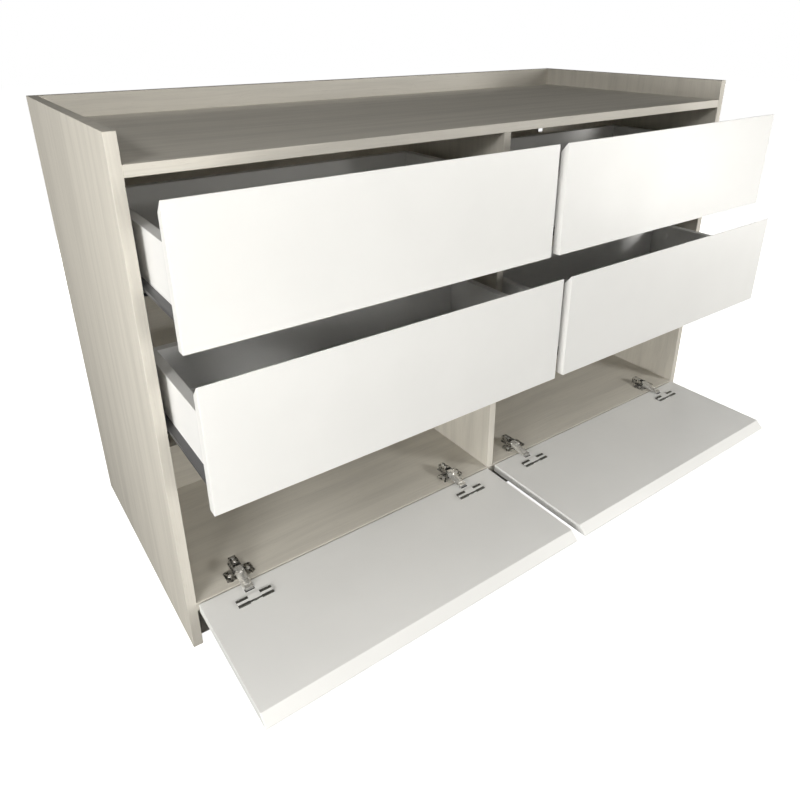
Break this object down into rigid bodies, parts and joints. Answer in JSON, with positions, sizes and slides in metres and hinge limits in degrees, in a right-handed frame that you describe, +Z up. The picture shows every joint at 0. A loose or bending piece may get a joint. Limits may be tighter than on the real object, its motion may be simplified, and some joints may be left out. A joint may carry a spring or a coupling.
{
  "type": "chest of drawers",
  "caption": "Low wide chest of drawers in pale wood-grain board with white handle-less drawer fronts, drop-down flaps on concealed hinges and a raised rim round its top.",
  "frame": {"origin": "on the floor, in the middle of the plinth board's underside", "axes": "+X to the right seen from the front, +Y towards the back, +Z up"},
  "size_m": [1.3, 0.7855, 0.832],
  "materials": {
    "grain_board": "whitened wood-grain melamine, matt, with matching edge banding",
    "white_front": "smooth white melamine, satin",
    "drawer_board": "plain white melamine, matt",
    "runner_steel": "pressed sheet, grey coated",
    "nylon": "moulded nylon",
    "nickel": "nickel-plated pressed steel",
    "dark_nickel": "darkened nickel on pressed steel",
    "white_cap": "moulded white cap"
  },
  "bodies": {
    "carcass": {"side_panel_left": "grain_board", "side_panel_right": "grain_board", "top_board": "grain_board", "bottom_board": "grain_board", "centre_divider": "grain_board", "plinth_board": "grain_board", "back_board": "grain_board", "compartment_rail_left": "grain_board", "compartment_rail_right": "grain_board", "drawer_rail_left": "grain_board", "drawer_rail_right": "grain_board", "carcass_runners_upper_left": "runner_steel", "carcass_runners_lower_left": "runner_steel", "carcass_runners_upper_right": "runner_steel", "carcass_runners_lower_right": "runner_steel", "hinge_plates_left": "nickel", "hinge_arms_left": "nickel", "hinge_plates_right": "nickel", "hinge_arms_right": "nickel"},
    "drawer_upper_left": {"drawer_front_upper_left": "white_front", "drawer_side_left_upper_left": "drawer_board", "drawer_side_right_upper_left": "drawer_board", "drawer_back_upper_left": "drawer_board", "drawer_floor_upper_left": "drawer_board", "drawer_runners_upper_left": "runner_steel"},
    "front_rollers_upper_left": {"front_rollers_upper_left": "nylon"},
    "rear_rollers_upper_left": {"rear_rollers_upper_left": "nylon"},
    "drawer_lower_left": {"drawer_front_lower_left": "white_front", "drawer_side_left_lower_left": "drawer_board", "drawer_side_right_lower_left": "drawer_board", "drawer_back_lower_left": "drawer_board", "drawer_floor_lower_left": "drawer_board", "drawer_runners_lower_left": "runner_steel"},
    "front_rollers_lower_left": {"front_rollers_lower_left": "nylon"},
    "rear_rollers_lower_left": {"rear_rollers_lower_left": "nylon"},
    "drawer_upper_right": {"drawer_front_upper_right": "white_front", "drawer_side_left_upper_right": "drawer_board", "drawer_side_right_upper_right": "drawer_board", "drawer_back_upper_right": "drawer_board", "drawer_floor_upper_right": "drawer_board", "drawer_runners_upper_right": "runner_steel"},
    "front_rollers_upper_right": {"front_rollers_upper_right": "nylon"},
    "rear_rollers_upper_right": {"rear_rollers_upper_right": "nylon"},
    "drawer_lower_right": {"drawer_front_lower_right": "white_front", "drawer_side_left_lower_right": "drawer_board", "drawer_side_right_lower_right": "drawer_board", "drawer_back_lower_right": "drawer_board", "drawer_floor_lower_right": "drawer_board", "drawer_runners_lower_right": "runner_steel"},
    "front_rollers_lower_right": {"front_rollers_lower_right": "nylon"},
    "rear_rollers_lower_right": {"rear_rollers_lower_right": "nylon"},
    "flap_left": {"flap_left": "white_front", "hinge_cups_left": "dark_nickel", "hinge_covers_left": "white_cap"},
    "hinge_links_left": {"hinge_links_left": "nickel"},
    "flap_right": {"flap_right": "white_front", "hinge_cups_right": "dark_nickel", "hinge_covers_right": "white_cap"},
    "hinge_links_right": {"hinge_links_right": "nickel"}
  },
  "joints": [
    {"name": "drawer_slide_upper_left", "type": "slide", "parent": "carcass", "child": "drawer_upper_left", "axis": [0, -1, 0], "range_m": [-0.13, 0.1474]},
    {"name": "front_roller_spin_upper_left", "type": "hinge", "parent": "carcass", "child": "front_rollers_upper_left", "pos_m": [0, -0.001, 0.6235], "axis": [1, 0, 0], "range_deg": [-1148, 1302]},
    {"name": "rear_roller_spin_upper_left", "type": "hinge", "parent": "drawer_upper_left", "child": "rear_rollers_upper_left", "pos_m": [0, 0.229, 0.6232], "axis": [1, 0, 0], "range_deg": [-1148, 1302]},
    {"name": "drawer_slide_lower_left", "type": "slide", "parent": "carcass", "child": "drawer_lower_left", "axis": [0, -1, 0], "range_m": [-0.163, 0.0268]},
    {"name": "front_roller_spin_lower_left", "type": "hinge", "parent": "carcass", "child": "front_rollers_lower_left", "pos_m": [0, -0.001, 0.4085], "axis": [1, 0, 0], "range_deg": [-1439, 239]},
    {"name": "rear_roller_spin_lower_left", "type": "hinge", "parent": "drawer_lower_left", "child": "rear_rollers_lower_left", "pos_m": [0, 0.076, 0.4082], "axis": [1, 0, 0], "range_deg": [-1439, 239]},
    {"name": "drawer_slide_upper_right", "type": "slide", "parent": "carcass", "child": "drawer_upper_right", "axis": [0, -1, 0], "range_m": [-0.13, 0.1474]},
    {"name": "front_roller_spin_upper_right", "type": "hinge", "parent": "carcass", "child": "front_rollers_upper_right", "pos_m": [0, -0.001, 0.6235], "axis": [1, 0, 0], "range_deg": [-1148, 1302]},
    {"name": "rear_roller_spin_upper_right", "type": "hinge", "parent": "drawer_upper_right", "child": "rear_rollers_upper_right", "pos_m": [0, 0.229, 0.6232], "axis": [1, 0, 0], "range_deg": [-1148, 1302]},
    {"name": "drawer_slide_lower_right", "type": "slide", "parent": "carcass", "child": "drawer_lower_right", "axis": [0, -1, 0], "range_m": [-0.163, 0.0268]},
    {"name": "front_roller_spin_lower_right", "type": "hinge", "parent": "carcass", "child": "front_rollers_lower_right", "pos_m": [0, -0.001, 0.4085], "axis": [1, 0, 0], "range_deg": [-1439, 239]},
    {"name": "rear_roller_spin_lower_right", "type": "hinge", "parent": "drawer_lower_right", "child": "rear_rollers_lower_right", "pos_m": [0, 0.076, 0.4082], "axis": [1, 0, 0], "range_deg": [-1439, 239]},
    {"name": "flap_hinge_left", "type": "hinge", "parent": "carcass", "child": "flap_left", "pos_m": [0, -0.0205, 0.0795], "axis": [-1, 0, 0], "range_deg": [0, 90]},
    {"name": "hinge_link_swing_left", "type": "hinge", "parent": "carcass", "child": "hinge_links_left", "pos_m": [0, -0.003, 0.096], "axis": [-1, 0, 0], "range_deg": [0, 99.5]},
    {"name": "flap_hinge_right", "type": "hinge", "parent": "carcass", "child": "flap_right", "pos_m": [0, -0.0205, 0.0795], "axis": [-1, 0, 0], "range_deg": [0, 90]},
    {"name": "hinge_link_swing_right", "type": "hinge", "parent": "carcass", "child": "hinge_links_right", "pos_m": [0, -0.003, 0.096], "axis": [-1, 0, 0], "range_deg": [0, 99.5]}
  ],
  "couplings": [
    {"joint": "front_roller_spin_upper_left", "follows": "drawer_slide_upper_left", "rad_per_m": 153.85},
    {"joint": "rear_roller_spin_upper_left", "follows": "drawer_slide_upper_left", "rad_per_m": 153.85},
    {"joint": "front_roller_spin_lower_left", "follows": "drawer_slide_lower_left", "rad_per_m": 153.85},
    {"joint": "rear_roller_spin_lower_left", "follows": "drawer_slide_lower_left", "rad_per_m": 153.85},
    {"joint": "front_roller_spin_upper_right", "follows": "drawer_slide_upper_right", "rad_per_m": 153.85},
    {"joint": "rear_roller_spin_upper_right", "follows": "drawer_slide_upper_right", "rad_per_m": 153.85},
    {"joint": "front_roller_spin_lower_right", "follows": "drawer_slide_lower_right", "rad_per_m": 153.85},
    {"joint": "rear_roller_spin_lower_right", "follows": "drawer_slide_lower_right", "rad_per_m": 153.85},
    {"joint": "hinge_link_swing_left", "follows": "flap_hinge_left", "ratio": 1.1},
    {"joint": "hinge_link_swing_right", "follows": "flap_hinge_right", "ratio": 1.1}
  ]
}
